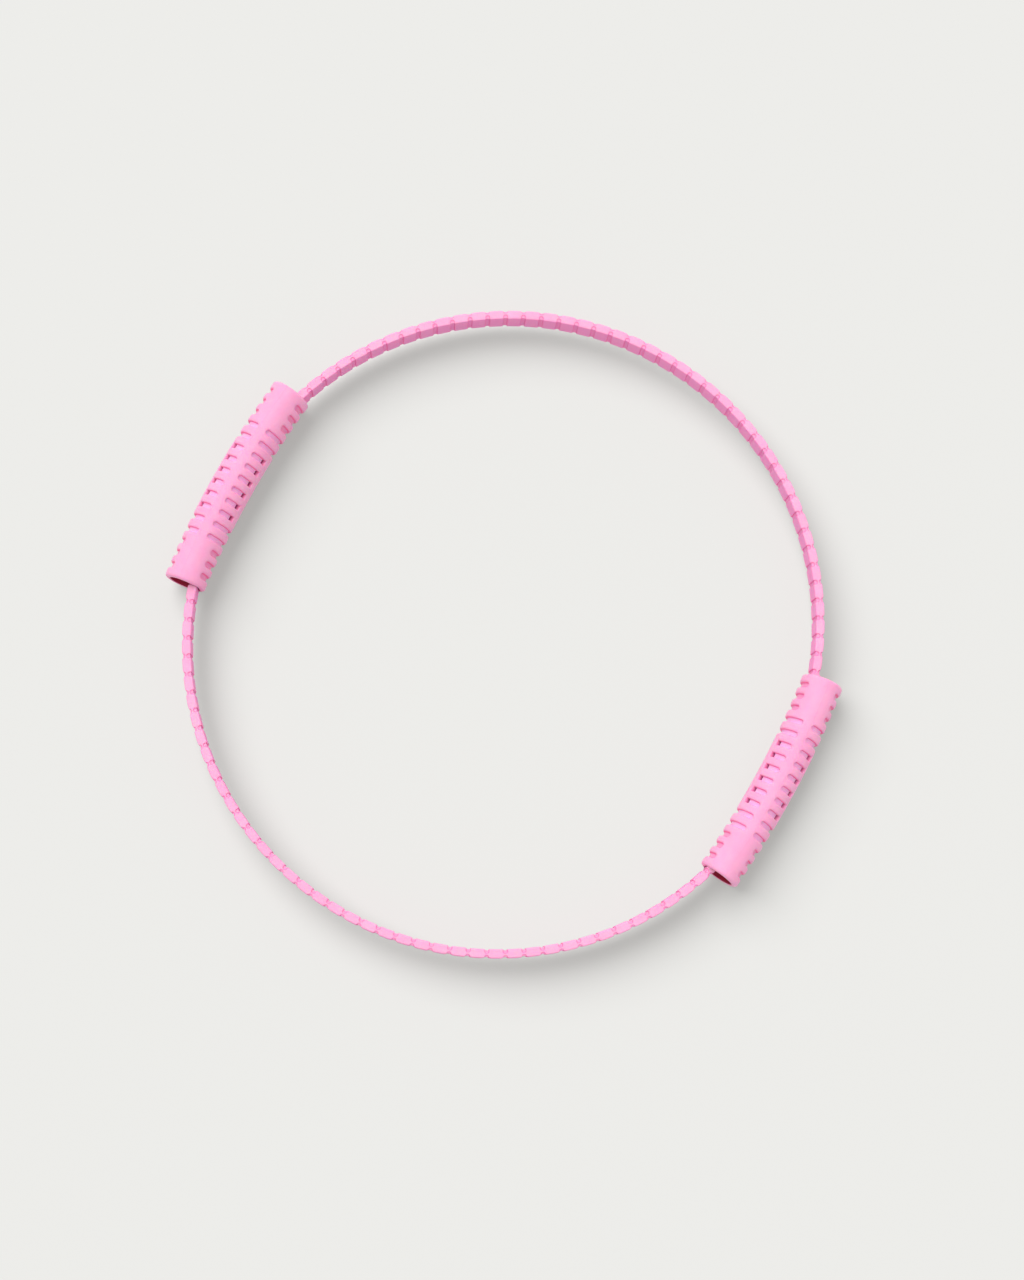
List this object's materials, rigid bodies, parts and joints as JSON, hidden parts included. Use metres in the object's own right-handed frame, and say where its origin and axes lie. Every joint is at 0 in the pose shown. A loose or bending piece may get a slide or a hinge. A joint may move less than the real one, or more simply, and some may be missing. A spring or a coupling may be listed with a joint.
{
  "type": "flexible exercise ring",
  "caption": "Flexible exercise hoop with a notched silicone cover over a sprung steel band and two slotted hand grips that shuffle along it.",
  "frame": {"origin": "centre of the hoop, at mid height of the bar", "axes": "+X through the middle of the right grip, +Y through the middle of the upper arc, +Z along the hoop's axis; the hoop lies flat in XY"},
  "size_m": [0.3839, 0.3802, 0.0304],
  "materials": {
    "spring_steel": "satin",
    "cover_silicone": "matt",
    "ferrule_metal": "satin",
    "rivet_steel": "satin",
    "grip_silicone": "matt",
    "liner_plastic": "matt",
    "bush_plastic": "matt"
  },
  "bodies": {
    "hoop": {"upper_core_band": "spring_steel", "lower_core_band": "spring_steel", "upper_arc_cover": "cover_silicone", "lower_arc_cover": "cover_silicone", "right_joint_ferrule": "ferrule_metal", "left_joint_ferrule": "ferrule_metal", "joint_rivets": "rivet_steel"},
    "right_grip": {"right_grip_sleeve": "grip_silicone", "right_grip_liner": "liner_plastic", "right_grip_upper_bush": "bush_plastic", "right_grip_lower_bush": "bush_plastic"},
    "left_grip": {"left_grip_sleeve": "grip_silicone", "left_grip_liner": "liner_plastic", "left_grip_upper_bush": "bush_plastic", "left_grip_lower_bush": "bush_plastic"}
  },
  "joints": [
    {"name": "right_grip_shuffle", "type": "hinge", "parent": "hoop", "child": "right_grip", "pos_m": [0, 0, 0], "axis": [0, 0, 1], "range_deg": [-1.5, 1.5]},
    {"name": "left_grip_shuffle", "type": "hinge", "parent": "hoop", "child": "left_grip", "pos_m": [0, 0, 0], "axis": [0, 0, 1], "range_deg": [-2.7, 0.3]}
  ]
}
